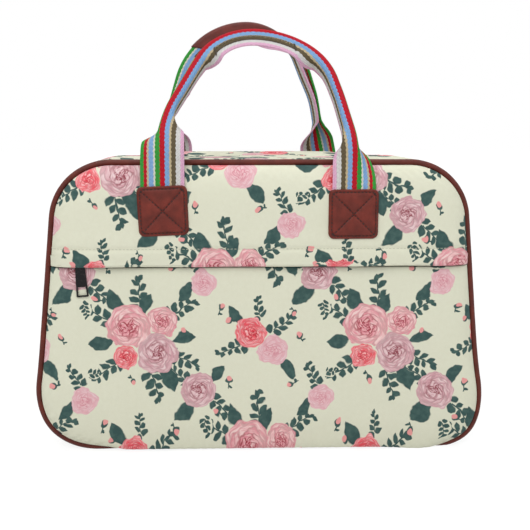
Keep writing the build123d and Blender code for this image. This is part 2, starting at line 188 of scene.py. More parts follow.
posyPrint = {
    "column": 112.0, "row": 224.0, "drop": 112.0,
    # groups share one wrapping of the repeat: name, centre
    "groups": {"posy": (0.0, 0.0), "pair": (0.0, 112.0), "single": (56.0, 58.0), "sprig": (56.0, -54.0)},
    # group, x, y, radius, turn, kind (1 pink, 2 dusty, 3 coral, 4 faded), how far it lies in front
    "roses": [
        ("posy", -12, 12, 22.0, 20, 1, 0.05), ("posy", 15, -13, 20.0, 140, 2, 0.1),
        ("posy", 20, 17, 15.0, 75, 1, 0.0), ("posy", -15, -17, 12.5, 200, 3, 0.25),
        ("pair", -9, 6, 15.5, 310, 3, 0.2), ("pair", 11, -11, 15.0, 50, 4, 0.0),
        ("single", 2, -4, 12.5, 110, 4, 0.0), ("sprig", -3, 5, 17.0, 250, 2, 0.1),
    ],
    # group, x, y, half length, turn
    "sprays": [
        ("posy", -36, 23, 17.0, 150), ("posy", -2, 44, 17.0, 95), ("posy", 38, 30, 15.0, 30),
        ("posy", 40, -20, 16.0, -20), ("posy", 12, -44, 17.0, -75), ("posy", -34, -30, 16.0, 215),
        ("pair", -28, -10, 14.0, 200), ("pair", 20, 14, 14.0, 40), ("pair", -2, 30, 11.0, 100),
        ("single", -6, 18, 13.0, 120), ("single", 14, 22, 8.0, 10),
        ("sprig", 20, -14, 15.0, -45), ("sprig", -22, 20, 14.0, 140), ("sprig", 4, -30, 9.0, -80),
    ],
    # group, x, y, half length, turn
    "leaves": [
        ("posy", -24, 36, 14.0, 120), ("posy", 26, -38, 15.0, -60), ("posy", -38, -4, 12.0, 190),
        ("posy", 40, 2, 12.0, 10), ("posy", 4, 34, 12.0, 70), ("sprig", -15, -15, 15.0, 230),
        ("sprig", 15, 20, 11.0, 50), ("pair", 26, -28, 13.0, -50), ("pair", -24, 22, 12.0, 130),
        ("single", -14, -14, 11.0, 235),
    ],
    # group, x, y, radius, turn
    "buds": [
        ("posy", -42, 40, 3.4, 60), ("posy", 40, 8, 3.2, 10), ("posy", -8, -40, 3.2, 200),
        ("pair", -30, 18, 3.2, 70), ("pair", 36, 4, 3.0, 20), ("single", -28, 10, 3.2, 100),
        ("single", 20, -26, 3.4, -30), ("sprig", 26, 14, 3.2, -10), ("sprig", -24, -34, 3.0, 200),
    ],
    "light": [(247, 214, 212), (236, 210, 212), (252, 206, 206), (236, 206, 210)],
    "middle": [(228, 150, 160), (212, 162, 170), (236, 88, 100), (231, 178, 186)],
    "deep": [(168, 62, 76), (148, 74, 84), (196, 32, 50), (214, 140, 152)],
    "cream": (229, 230, 210), "creamShade": (223, 223, 201),
    "leaf": (56, 84, 82), "leafLight": (74, 102, 97), "bud": (236, 160, 158),
    "wobble": 9.0,
}


def wrappedPlace(place, centre):
    # the nearest repeat of a point in a half-drop layout
    x, y, _ = split(place)
    x = x - centre[0]
    column = (x / posyPrint["column"]).calc("ROUND")
    localX = x - column * posyPrint["column"]
    shifted = y - centre[1] - column * posyPrint["drop"]
    half = posyPrint["row"] / 2
    return combined(localX, shifted.calc("WRAP", half, -half))


def nearestMotif(groups, motifs):
    # local place of the motif that a point is nearest to, its kind in Z
    chosen = least = None
    for group, x, y, size, turn, *rest in motifs:
        kind, front = rest or (0, 0.0)
        local = addNode(groups[group].tree, "ShaderNodeMapping", {
            "Vector": groups[group], "Location": (x, y, -0.01 * kind),
            "Rotation": (0, 0, radians(turn)), "Scale": (size, size, 1)}, vector_type="TEXTURE")
        reach = vectorMath("LENGTH", local, output=1)
        if front:
            reach = reach - front
        if chosen is None:
            chosen, least = local, reach
        else:
            nearer = reach.calc("LESS_THAN", least)
            chosen = mixPlace(nearer, chosen, local)
            least = reach.calc("MINIMUM", least)
    return chosen


def kindPaint(kind, colours):
    # one colour for each kind of rose
    stops = [(0.0, paint(*colours[0]))]
    stops += [(0.25 * i + 0.125, paint(*colour)) for i, colour in enumerate(colours) if i]
    ramp = addNode(kind.tree, "ShaderNodeValToRGB", [kind], stops=stops)
    ramp.socket.node.color_ramp.interpolation = "CONSTANT"
    return ramp


def rosePaint(local):
    x, y, kind = split(local)
    kind = kind * 25.0 - 0.125
    flat = combined(x, y)
    reach = vectorMath("LENGTH", flat, output=1)
    heading = vectorMath("NORMALIZE", flat)
    swirl = addNode(local.tree, "ShaderNodeVectorRotate", {"Vector": heading, "Angle": reach * 2.4},
                    rotation_type="Z_AXIS")
    swirlX, swirlY, _ = split(swirl)
    petals = combined(swirlX * 1.2, swirlY * 1.2, reach * 4.6 + kind * 31.0)
    shade = addNode(local.tree, "ShaderNodeTexVoronoi", {"Vector": petals, "Scale": 1.0}, output=1)
    edge = addNode(local.tree, "ShaderNodeTexVoronoi", {"Vector": petals, "Scale": 1.0},
                   feature="DISTANCE_TO_EDGE")
    brush = noise(combined(swirlX * 2.2, swirlY * 2.2, reach * 15.0 + kind * 17.0), 1.0, 3.0)
    shade = split(shade)[0]
    tone = 0.42 + (brush - 0.5) * 3.2 + (shade - 0.5) * 0.5 + (reach - 0.45) * 0.25
    middle, light = [kindPaint(kind, posyPrint[tint]) for tint in ("middle", "light")]
    colour = mixPaint(clamped(tone), middle, light)
    heart = clamped((0.62 - reach) * 2.2)
    line = clamped((0.15 - edge) * 13.0) * clamped((brush - 0.38) * 8.0) * (0.42 + heart * 0.7)
    colour = mixPaint(line, colour, kindPaint(kind, posyPrint["deep"]))
    lobes = noise(vectorMath("ADD", scaled(heading, 1.6), combined(kind * 9.0, 0.0)), 1.0, 1.0)
    rim = reach + (lobes - 0.5) * 0.34
    mask = clamped((0.98 - rim) * 26.0)
    outer = clamped((rim - 0.84) * 8.0)
    return mixPaint(outer * 0.45, colour, kindPaint(kind, posyPrint["middle"])), mask


def sprayMask(local):
    # a stem along X with leaflets in turn on both sides and one at its tip
    x, y, _ = split(local)
    side = y.calc("SIGN")
    away = y.calc("ABSOLUTE")
    along = x + side * 0.13 + 1.0
    number = (along * 1.9).calc("FLOOR")
    inside = along - (number + 0.5) / 1.9 + 0.24
    taper = 1.18 - number * 0.13
    leafU = (inside * 0.64 + away * 0.77) / (0.62 * taper)
    leafV = (away * 0.64 - inside * 0.77) / (0.21 * taper)
    leaflet = leafU * (1.0 - leafU) * 4.0 - leafV.calc("ABSOLUTE")
    leaflet = leaflet.calc("MINIMUM", 3.4 - number).calc("MINIMUM", number + 0.5)
    tipU = (x - 0.55) / 0.52
    tip = tipU * (1.0 - tipU) * 4.0 - away / 0.15
    stem = (0.05 - away).calc("MINIMUM", 0.75 - x.calc("ABSOLUTE")) * 12.0
    return clamped(leaflet.calc("MAXIMUM", tip).calc("MAXIMUM", stem) * 4.0)


def leafMask(local):
    x, y, _ = split(local)
    bow = y + x * x * 0.18
    return clamped((1.0 - x * x - bow.calc("ABSOLUTE") / 0.54) * 7.0)


def budMasks(local):
    x, y, _ = split(local)
    flower = vectorMath("LENGTH", combined(x * 1.1, y - 0.15), output=1)
    cup = vectorMath("LENGTH", combined(x, y + 0.35), output=1)
    stem = (0.22 - (x + y * 0.12).calc("ABSOLUTE")).calc("MINIMUM", 2.7 + y).calc("MINIMUM", 0.0 - y)
    leaf = vectorMath("LENGTH", combined((x - 0.75) * 1.1, (y + 2.0) * 2.2), output=1)
    dark = clamped((1.05 - cup) * 6.0).calc("MAXIMUM", clamped(stem * 14.0))
    dark = dark.calc("MAXIMUM", clamped((0.85 - leaf) * 6.0))
    return clamped((0.86 - flower) * 7.0), dark


def canvasMaterial():
    material, tree = newMaterial("printedCanvas")
    place = sheetPlace(tree)
    bend = vectorMath("SUBTRACT", noise(place, 0.075, 2.0, output=1), (0.5, 0.5, 0.5))
    drawn = vectorMath("ADD", place, scaled(bend, posyPrint["wobble"]))
    groups = {name: wrappedPlace(drawn, centre) for name, centre in posyPrint["groups"].items()}
    rose, roseMask = rosePaint(nearestMotif(groups, posyPrint["roses"]))
    spray = sprayMask(nearestMotif(groups, posyPrint["sprays"]))
    leaf = leafMask(nearestMotif(groups, posyPrint["leaves"]))
    bud, cup = budMasks(nearestMotif(groups, posyPrint["buds"]))
    mottle = noise(place, 0.25, 3.0)
    colour = mixPaint(mottle, paint(*posyPrint["creamShade"]), paint(*posyPrint["cream"]))
    green = mixPaint(clamped((noise(place, 0.18, 2.0) - 0.4) * 3.0),
                     paint(*posyPrint["leaf"]), paint(*posyPrint["leafLight"]))
    colour = mixPaint(spray.calc("MAXIMUM", leaf).calc("MAXIMUM", cup), colour, green)
    colour = mixPaint(bud, colour, paint(*posyPrint["bud"]))
    colour = mixPaint(roseMask, colour, rose)
    x, y, _ = split(place)
    warp = (x * (2 * pi / 0.9)).calc("SINE") * (y * (2 * pi / 0.9)).calc("SINE")
    slub = noise(combined(x * 0.6, y * 3.0), 1.0, 2.0)
    height = warp * 0.5 + slub * 0.8
    colour = mixPaint(clamped(slub * 0.16), colour, paint(190, 186, 160), "MULTIPLY")
    finishMaterial(tree, colour, 0.82, height, 0.12, 0.6, **{"Specular IOR Level": 0.25})
    return material


# Leather, webbing, threads and metal

def leatherMaterial(name, dark, light, grain=1.0, gloss=0.42):
    material, tree = newMaterial(name)
    place = objectPlace(tree)
    cells = addNode(tree, "ShaderNodeTexVoronoi", {"Vector": place, "Scale": 1.1 * grain},
                    feature="DISTANCE_TO_EDGE")
    fine = noise(place, 2.5 * grain, 3.0)
    broad = noise(place, 0.09, 3.0)
    colour = mixPaint(clamped((broad - 0.32) * 2.6), paint(*dark), paint(*light))
    # painted shade: the colour is darkened along the grain's creases, which the bump sinks too; the creases
    # are also rougher
    crease = clamped((0.10 - cells) * 9.0)
    colour = mixPaint(crease * 0.4, colour, paint(*[c * 0.62 for c in dark]))
    roughness = gloss + (fine - 0.5) * 0.25 + crease * 0.15
    height = cells.calc("MINIMUM", 0.16) * 3.0 + fine * 0.5
    finishMaterial(tree, colour, roughness, height, 0.16, 0.7, **{"Specular IOR Level": 0.3})
    return material


webbing = {
    "stripes": [  # outer edge to inner edge, each where it starts
        (0.0, (58, 160, 62)), (0.06, (192, 20, 40)), (0.135, (206, 190, 158)), (0.183, (136, 178, 226)),
        (0.29, (226, 226, 210)), (0.333, (56, 156, 60)), (0.445, (194, 20, 40)), (0.56, (134, 178, 226)),
        (0.667, (206, 188, 150)), (0.715, (102, 90, 66)), (0.823, (224, 223, 220)), (0.93, (234, 182, 212)),
    ],
    "wave": 4.1, "waveHeight": 0.007, "rib": 1.35,
}


def webbingMaterial():
    material, tree = newMaterial("stripedWebbing")
    across, along, _ = split(addNode(tree, "ShaderNodeUVMap", uv_map="cloth"))
    along = along * 1000.0
    wave = (along * (2 * pi / webbing["wave"]) + across * 41.0).calc("SINE")
    loose = noise(combined(across * 30.0, along * 0.45), 1.0, 1.0)
    edge = across + wave * webbing["waveHeight"] + (loose - 0.5) * 0.012
    stripes = addNode(tree, "ShaderNodeValToRGB", [edge],
                      stops=[(place, paint(*colour)) for place, colour in webbing["stripes"]])
    stripes.socket.node.color_ramp.interpolation = "CONSTANT"
    twill = (along * (2 * pi / webbing["rib"]) + across * 90.0).calc("SINE")
    warp = (across * (38.0 * 2 * pi / 1.5)).calc("SINE")
    height = twill * 0.5 + warp * 0.3 + wave * 0.6
    fuzz = noise(objectPlace(tree), 1.3, 3.0)
    # painted shade in the weave's hollows, darker where the twill and warp sink, with random tone from the
    # fuzz
    shade = clamped(0.2 - twill * 0.16 - warp * 0.06 + (fuzz - 0.5) * 0.6)
    colour = mixPaint(shade, stripes, paint(104, 98, 96), "MULTIPLY")
    finishMaterial(tree, colour, 0.8, height + fuzz, 0.22, 0.8, **{"Specular IOR Level": 0.25})
    return material


def threadMaterial(name, colour):
    material, tree = newMaterial(name)
    place = objectPlace(tree)
    x, y, z = split(place)
    twist = ((x + y + z) * 9.0).calc("SINE")
    shade = noise(place, 0.8, 2.0)
    tint = mixPaint(shade, paint(*[c * 0.78 for c in colour]), paint(*colour))
    finishMaterial(tree, tint, 0.6, twist, 0.06, 0.6)
    return material


def metalMaterial(name, colour, worn, gloss):
    material, tree = newMaterial(name)
    place = objectPlace(tree)
    cloud = noise(place, 0.5, 4.0)
    grit = noise(place, 6.0, 2.0)
    tint = mixPaint(clamped((cloud - 0.55) * 3.0), paint(*colour), paint(*worn))
    finishMaterial(tree, tint, gloss + (cloud - 0.5) * 0.2, grit, 0.02, 0.5, Metallic=0.85)
    return material


def tapeMaterial(name, colour):
    material, tree = newMaterial(name)
    place = objectPlace(tree)
    x, y, z = split(place)
    ribs = (x * (2 * pi / 0.8)).calc("SINE")
    cross = ((y + z) * (2 * pi / 1.1)).calc("SINE")
    fuzz = noise(place, 0.9, 3.0)
    # painted shade darkens the tape between its ribs, with random tone from the fuzz
    shade = clamped(0.3 - ribs * 0.2 + (fuzz - 0.5))
    tint = mixPaint(shade, paint(*colour), paint(*[c * 0.8 for c in colour]))
    finishMaterial(tree, tint, 0.8, ribs * cross + fuzz * 0.6, 0.12, 0.7)
    return material


def plasticMaterial(name, colour, gloss):
    material, tree = newMaterial(name)
    place = objectPlace(tree)
    cloud = noise(place, 0.3, 3.0)
    tint = mixPaint(cloud, paint(*[c * 0.9 for c in colour]), paint(*colour))
    finishMaterial(tree, tint, gloss + (cloud - 0.5) * 0.15, noise(place, 3.0, 2.0), 0.03, 0.5)
    return material


printedCanvas = canvasMaterial()
brownLeather = leatherMaterial("brownLeather", (92, 31, 21), (124, 46, 34), 1.0, 0.46)
pipingLeather = leatherMaterial("pipingLeather", (84, 29, 19), (106, 40, 27), 1.3, 0.42)
gripLeather = leatherMaterial("gripLeather", (84, 29, 22), (112, 43, 34), 1.1, 0.44)
stripedWebbing = webbingMaterial()
brownThread = threadMaterial("brownThread", (46, 17, 13))
creamThread = threadMaterial("creamThread", (214, 214, 192))
oliveThread = threadMaterial("oliveThread", (74, 62, 42))
blackMetal = metalMaterial("blackMetal", (34, 33, 34), (74, 72, 70), 0.34)
zipTape = tapeMaterial("zipTape", (206, 204, 184))
zipTeeth = plasticMaterial("zipTeeth", (204, 200, 182), 0.4)
liningCotton = tapeMaterial("liningCotton", (216, 212, 192))
cordCotton = tapeMaterial("cordCotton", (222, 216, 202))
boardPlastic = plasticMaterial("boardPlastic", (52, 52, 53), 0.55)
print("materials made")


# Meshes

def addObject(name, mesh, material, body="bag", replaced=()):
    piece = bpy.data.objects.new(name, mesh)
    bpy.context.scene.collection.objects.link(piece)
    if material and not mesh.materials:
        mesh.materials.append(material)
    if replaced:
        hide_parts(*replaced)
    if body:
        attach(piece, body)
    return piece


def gridMesh(name, points, uvs=None, closed=False, flip=False):
    # points: rows by columns in mm; closed joins the last column to the first
    rows, columns = points.shape[:2]
    index = np.arange(rows * columns).reshape(rows, columns)
    if closed:
        index = np.hstack([index, index[:, :1]])
    quads = np.stack([index[:-1, :-1], index[:-1, 1:], index[1:, 1:], index[1:, :-1]], axis=-1)
    quads = quads.reshape(-1, 4)
    if flip:
        quads = quads[:, ::-1]
    mesh = bpy.data.meshes.new(name)
    mesh.from_pydata((points.reshape(-1, 3) * mm).tolist(), [], quads.tolist())
    if uvs is not None:
        layer = mesh.uv_layers.new(name="cloth")
        layer.data.foreach_set("uv", uvs.reshape(-1, 2)[quads.ravel()].astype(np.float32).ravel())
    mesh.shade_smooth()
    return mesh


def thicken(piece, thickness):
    wall = piece.modifiers.new("wall", "SOLIDIFY")
    wall.thickness = thickness * mm
    wall.offset = -1.0
    return piece


# Outline of the body, measured on the seams

bodyShape = {
    "baseHalfWidth": 217.0, "topHalfWidth": 189.0, "low": 3.0, "high": 277.0,
    "lowRadius": 60.0, "highRadius": 56.0, "seamPlace": 78.0, "panelFace": 78.6,
    "cornerBulge": (5.0, 13.0), "topSink": 8.0, "topSwell": 3.0,
    "cornerPlace": (196.0, 24.0), "cornerReach": 42.0,      # where the lower corners bulge
    "sinkAcross": (80.0, 118.0), "sinkBack": (12.0, 74.0), "swellPlace": 42.0, "swellReach": 24.0,
}
sideSlope = bodyShape["baseHalfWidth"] - bodyShape["topHalfWidth"]
sideSlope = sideSlope / (bodyShape["high"] - bodyShape["low"])
sideTilt = atan(sideSlope)


def halfWidth(z, inset=0.0):
    return bodyShape["baseHalfWidth"] - sideSlope * (z - bodyShape["low"]) - inset * hypot(1, sideSlope)


lowZ = bodyShape["low"] + bodyShape["lowRadius"]
highZ = bodyShape["high"] - bodyShape["highRadius"]
lowX = halfWidth(lowZ, bodyShape["lowRadius"])
highX = halfWidth(highZ, bodyShape["highRadius"])

lowTurn = np.linspace(-pi / 2, sideTilt, 90)
highTurn = np.linspace(sideTilt, pi / 2, 90)
seamX = np.concatenate([[0], lowX + bodyShape["lowRadius"] * np.cos(lowTurn),
                        highX + bodyShape["highRadius"] * np.cos(highTurn), [0]])
seamZ = np.concatenate([[bodyShape["low"]], lowZ + bodyShape["lowRadius"] * np.sin(lowTurn),
                        highZ + bodyShape["highRadius"] * np.sin(highTurn), [bodyShape["high"]]])
seamTurn = np.concatenate([[-pi / 2], lowTurn, highTurn, [pi / 2]])
seamRun = np.concatenate([[0], np.cumsum(np.hypot(np.diff(seamX), np.diff(seamZ)))])
seamHalf = seamRun[-1]


def seamAt(run):
    # x, z and outward direction at a length from the bottom's middle, right side first
    run = np.asarray(run, float) % (2 * seamHalf)
    left = run > seamHalf
    here = np.where(left, 2 * seamHalf - run, run)
    turn = np.interp(here, seamRun, seamTurn)
    sign = np.where(left, -1.0, 1.0)
    return (sign * np.interp(here, seamRun, seamX), np.interp(here, seamRun, seamZ),
            sign * np.cos(turn), np.sin(turn))


def insetOf(x, z):
    # distance inwards from the seam's outline
    x = np.abs(x)
    inset = np.minimum(np.minimum(z - bodyShape["low"], bodyShape["high"] - z),
                       (halfWidth(z) - x) / hypot(1, sideSlope))
    turn = np.arctan2(z - lowZ, x - lowX)
    inLow = (turn > -pi / 2) & (turn < sideTilt)
    inset = np.where(inLow, bodyShape["lowRadius"] - np.hypot(x - lowX, z - lowZ), inset)
    turn = np.arctan2(z - highZ, x - highX)
    inHigh = (turn > sideTilt) & (turn < pi / 2)
    return np.where(inHigh, bodyShape["highRadius"] - np.hypot(x - highX, z - highZ), inset)


def settled(points):
    # the filled bag's lower corners bulge, and its top sinks at the rear ends and swells between them
    points = np.array(points)
    x, y, z = points[..., 0], points[..., 1], points[..., 2]
    cornerX, cornerZ = bodyShape["cornerPlace"]
    reach = bodyShape["cornerReach"]
    for side, amount in ((1, bodyShape["cornerBulge"][1]), (-1, bodyShape["cornerBulge"][0])):
        near = np.exp(-(((side * x - cornerX) / reach) ** 2 + ((z - cornerZ) / reach) ** 2))
        points[..., 0] += side * amount * 0.62 * near
        points[..., 2] -= amount * 0.78 * near
    sink = bodyShape["topSink"] * smooth(np.abs(x), *bodyShape["sinkAcross"])
    sink = sink * smooth(y, *bodyShape["sinkBack"])
    swell = bodyShape["topSwell"] * (1 - smooth(np.abs(x), 60.0, 150.0)) * smooth(y, 6.0, 22.0)
    swell = swell * np.exp(-((y - bodyShape["swellPlace"]) / bodyShape["swellReach"]) ** 2)
    points[..., 2] += (swell - sink) * smooth(z, 200.0, 272.0)
    points[..., 2] = np.maximum(points[..., 2], 0.02)
    return points


def smooth(value, start, end):
    share = np.clip((value - start) / (end - start), 0.0, 1.0)
    return share * share * (3 - 2 * share)


def waves(x, z, seed, count=7, shortest=60.0, longest=190.0):
    # slow unevenness of stuffed cloth, about -1 to 1
    dice = np.random.RandomState(seed)
    total = 0.0
    for _ in range(count):
        heading, length = dice.uniform(0, 2 * pi), dice.uniform(shortest, longest)
        phase = dice.uniform(0, 2 * pi)
        total = total + np.sin((x * cos(heading) + z * sin(heading)) * 2 * pi / length + phase)
    return total / count ** 0.5 / 1.4


# Cloth panels

panels = {
    "frontCrown": 16.85, "pocketCrown": 12.0, "backCrown": 12.0,
    "reach": 34.0, "power": 2.4, "tuck": 2.4,       # edge hidden under the piping
    "wall": 1.2, "unevenness": 0.55, "pucker": 0.28,
    "flapEdge": 182.0, "flapStitch": 198.5, "pocketEdge": 180.7,
    "sag": 8.5, "sagLeft": (-168.0, -122.0), "sagRight": (146.0, 184.0),
    "columns": 190, "rows": 150,
}


def climbOf(share):
    share = np.clip(share, 0.0, 1.0)
    power = panels["power"]
    return (1 - (1 - share) ** power) ** (1 / power)


def panelDepth(x, z, crown, rim, seed):
    inset = insetOf(x, z) - panels["tuck"]
    climb = climbOf(inset / panels["reach"])
    depth = rim + (crown - rim) * climb
    depth = depth + panels["unevenness"] * waves(x, z, seed) * smooth(inset, 6.0, 50.0)
    ripple = np.sin((x + z * np.sign(x)) * 2 * pi / 9.5 + 2.2 * waves(x, z, seed + 1, 5, 20, 60))
    depth = depth + panels["pucker"] * ripple * smooth(inset, 0.0, 3.0) * (1 - smooth(inset, 5.0, 17.0))
    return depth, inset


def panelRows(low, high, count):
    # heights of the rows and half their widths, close together in the corners
    runs = np.linspace(lowX, seamHalf - highX, 1200)
    x, z, outX, outZ = seamAt(runs)
    ends = x - panels["tuck"] * outX
    heights = z - panels["tuck"] * outZ
    keep = np.linspace(np.interp(low, heights, runs), np.interp(high, heights, runs), count)
    return np.interp(keep, runs, heights), np.interp(keep, runs, ends)


def panelColumns(count):
    share = np.linspace(-1, 1, count)
    return 0.6 * (1.5 * share - 0.5 * share ** 3) + 0.4 * share


def panelGrid(low, high, rows):
    heights, ends = panelRows(low, high, rows)
    x = ends[:, None] * panelColumns(panels["columns"])[None, :]
    z = np.repeat(heights[:, None], panels["columns"], axis=1)
    return x, z


def pocketPanel():
    x, z = panelGrid(0.0, panels["pocketEdge"] - 1.0, panels["rows"])
    depth, inset = panelDepth(x, z, panels["pocketCrown"], 0.0, 11)
    low = bodyShape["low"] + panels["tuck"]
    rise = np.maximum(z - low, 0.0)
    middle = smooth(x, *panels["sagLeft"]) * (1 - smooth(x, *panels["sagRight"]))
    drop = panels["sag"] * middle * rise / 6.0 * np.exp(1 - rise / 6.0)
    sheet = np.stack([x, -(bodyShape["panelFace"] + depth), np.maximum(z - drop, 0.5)], axis=-1)
    uvs = np.stack([x, z], axis=-1) * mm
    # the upper edge is turned in to a hem
    hem = []
    for turn in np.linspace(0.3, pi, 6):
        row = sheet[-1].copy()
        row[:, 2] += sin(turn) * 1.0
        row[:, 1] += (1 - cos(turn)) * 0.9 * smooth(inset[-1], 0.0, 6.0)
        hem.append(row)
    last = hem[-1].copy()
    last[:, 2] -= 5.0
    hem.append(last)
    uvs = np.concatenate([uvs, uvs[-1:] + np.linspace(0.4, 6.0, 7)[:, None, None] * [0, mm]])
    mesh = gridMesh("pocketPanel", settled(np.concatenate([sheet, np.stack(hem)])), uvs)
    addObject("pocketPanel", mesh, printedCanvas, replaced=["front_pocket_panel"])


def upperDepth(x, z):
    depth, inset = panelDepth(x, z, panels["frontCrown"], 1.0, 23)
    fade = smooth(inset, 0.0, 8.0)
    stitch = np.exp(-((z - panels["flapStitch"]) / 1.7) ** 2)
    below = np.exp(-((z - panels["flapStitch"] + 5.5) / 5.0) ** 2)
    above = np.exp(-((z - panels["flapStitch"] - 7.0) / 6.0) ** 2)
    gather = np.sin(x * 2 * pi / 11.0 + 2.0 * waves(x, z, 31, 5, 30, 90))
    depth = depth - 0.85 * stitch * fade + (0.5 + 0.16 * gather) * below * fade
    depth = depth + (0.35 + 0.2 * gather) * above * fade
    return depth, inset


def upperPanel():
    foldRadius = 1.25
    x, z = panelGrid(panels["flapEdge"] + foldRadius, bodyShape["high"], panels["rows"] // 2 + 20)
    depth, inset = upperDepth(x, z)
    # a cloth edge is never quite straight
    edge = 0.5 * waves(x, z * 0, 41, 5, 60, 200) * np.exp(-(z - panels["flapEdge"]) / 9.0)
    sheet = np.stack([x, -(bodyShape["panelFace"] + depth), z + edge], axis=-1)
    uvs = np.stack([x + 31.0, z + 57.0], axis=-1) * mm
    fade = 0.25 + 0.75 * smooth(inset[0], 0.0, 8.0)
    rows, marks = [], []
    for turn in np.linspace(pi, 0.35, 9):
        row = sheet[0].copy()
        row[:, 2] -= foldRadius * sin(turn)
        row[:, 1] += foldRadius * (1 + cos(turn)) * fade
        rows.append(row)
        marks.append(uvs[0] - [0, foldRadius * (pi - 0.35 - turn + 0.35) * -mm])
    back = rows[0].copy()
    back[:, 2] += 9.0
    rows.insert(0, back)
    marks.insert(0, uvs[0] - [0, 13.0 * mm])
    mesh = gridMesh("upperPanel", settled(np.concatenate([np.stack(rows), sheet])),
                    np.concatenate([np.stack(marks), uvs]))
    addObject("upperPanel", mesh, printedCanvas, replaced=["front_upper_panel"])


def backPanel():
    x, z = panelGrid(0.0, bodyShape["high"], panels["rows"])
    depth, _ = panelDepth(x, z, panels["backCrown"], 0.0, 53)
    sheet = np.stack([x, bodyShape["panelFace"] + depth, z], axis=-1)
    uvs = np.stack([-x + 40.0, z + 20.0], axis=-1) * mm
    mesh = gridMesh("backPanel", settled(sheet), uvs, flip=True)
    addObject("backPanel", mesh, printedCanvas, replaced=["back_panel"])


pocketPanel()
upperPanel()
backPanel()
print("panels made")


# Gusset and the strips along the zip

gusset = {
    "bulge": 3.0, "rise": 6.2, "shoulder": 25.0, "end": 77.2,
    "stripEnd": 141.0, "slotHalf": 5.6, "slotLeft": -113.0, "slotRight": 130.0,
    "unevenness": 0.9,
}
gussetRadius = (gusset["rise"] ** 2 + gusset["shoulder"] ** 2) / (2 * gusset["rise"])


def gussetOut(v):
    # how far the cloth stands out of the seam's line at a place across it
    run = np.clip(np.abs(v) - (gusset["end"] - gusset["shoulder"]), 0.0, gusset["shoulder"])
    return gusset["bulge"] - (gussetRadius - np.sqrt(gussetRadius ** 2 - run ** 2))


def gussetSheet(runs, across, seed):
    x, z, outX, outZ = [a[:, None] for a in seamAt(runs)]
    v = across if across.ndim == 2 else np.repeat(across[None, :], len(runs), axis=0)
    out = gussetOut(v)
    side = np.clip(np.abs(outX), 0.0, 1.0)
    inner = smooth(gusset["end"] - np.abs(v), 2.0, 30.0)
    out = out + gusset["unevenness"] * waves(np.repeat(runs[:, None], v.shape[1], 1), v, seed) * inner * side
    pucker = np.sin(runs[:, None] * 2 * pi / 10.0 + np.sign(v)) * smooth(np.abs(v), 60.0, 74.0)
    out = out + 0.25 * pucker * side * (1 - smooth(np.abs(v), 75.5, 77.0))
    sheet = np.stack([x + outX * out, v, z + outZ * out], axis=-1)
    sheet[..., 2] = np.maximum(sheet[..., 2], 0.02)
    return sheet


def spread(start, end, count):
    # closer together at both ends
    share = np.linspace(-1, 1, count)
    return (start + end) / 2 + (end - start) / 2 * (0.5 * (1.5 * share - 0.5 * share ** 3) + 0.5 * share)


topRun = seamHalf - gusset["stripEnd"]
runs = np.linspace(-topRun, topRun, 330)
across = spread(-gusset["end"], gusset["end"], 74)
uvs = np.stack(np.meshgrid(across + 21.0, runs + 500.0), axis=-1) * mm
mesh = gridMesh("gussetCloth", settled(gussetSheet(runs, across, 61)), uvs)
gussetPiece = addObject("gussetCloth", mesh,
                        printedCanvas, replaced=["side_bottom_gusset"])
thicken(gussetPiece, 1.3)

for name, side in (("Front", -1), ("Back", 1)):
    runs = np.linspace(seamHalf - gusset["stripEnd"] - 1.5, seamHalf + gusset["stripEnd"] + 1.5, 200)
    place = seamAt(runs)[0]
    inSlot = (smooth(place, gusset["slotLeft"] - 2.0, gusset["slotLeft"])
              * (1 - smooth(place, gusset["slotRight"], gusset["slotRight"] + 2.0)))
    inner = 0.1 + (gusset["slotHalf"] - 0.1) * inSlot
    share = np.concatenate([np.linspace(0, 0.06, 6)[:-1], np.linspace(0.06, 1, 34)])
    v = side * (inner[:, None] + (gusset["end"] - inner[:, None]) * share[None, :])
    sheet = gussetSheet(runs, v, 71)
    ridge = np.exp(-((np.abs(v) - inner[:, None] - 1.5) / 2.0) ** 2) * 0.5
    sheet[..., 2] += ridge * inSlot[:, None] + 0.3
    uvs = np.stack([-place[:, None] + 0 * v + 12.0, v * side + 90.0 * side], axis=-1) * mm
    strip = addObject("topStrip" + name, gridMesh("topStrip" + name, settled(sheet), uvs, flip=side < 0),
                      printedCanvas, replaced=["top_strip_" + name.lower()])
    thicken(strip, 1.2)
print("gusset and strips made")


# Piping

def tube(name, line, outward, binormal, radius, sides, wobble=0.0, seed=0):
    # a closed tube along a closed line
    turns = np.arange(sides) * 2 * pi / sides
    lengths = np.arange(len(line)) * 1.0
    size = radius * (1 + wobble * waves(lengths * 6.0, lengths * 0, seed, 6, 20, 90))
    ring = (outward[:, None, :] * np.cos(turns)[None, :, None]
            + binormal[:, None, :] * np.sin(turns)[None, :, None])
    points = line[:, None, :] + ring * size[:, None, None]
    points = np.concatenate([points, points[:1]])
    return gridMesh(name, settled(points), closed=True)


for name, side in (("Front", -1), ("Back", 1)):
    runs = np.linspace(0, 2 * seamHalf, 481)[:-1]
    x, z, outX, outZ = seamAt(runs)
    zero = 0 * x
    line = np.stack([x, zero + side * bodyShape["seamPlace"], z], axis=-1)
    outward = np.stack([outX, zero, outZ], axis=-1)
    binormal = np.stack([zero, zero + 1.0, zero], axis=-1)
    mesh = tube("piping" + name, line, outward, binormal, 3.0, 16, 0.02, 81)
    addObject("piping" + name, mesh, pipingLeather, replaced=["piping_" + name.lower()])
print("piping made")


# Handles

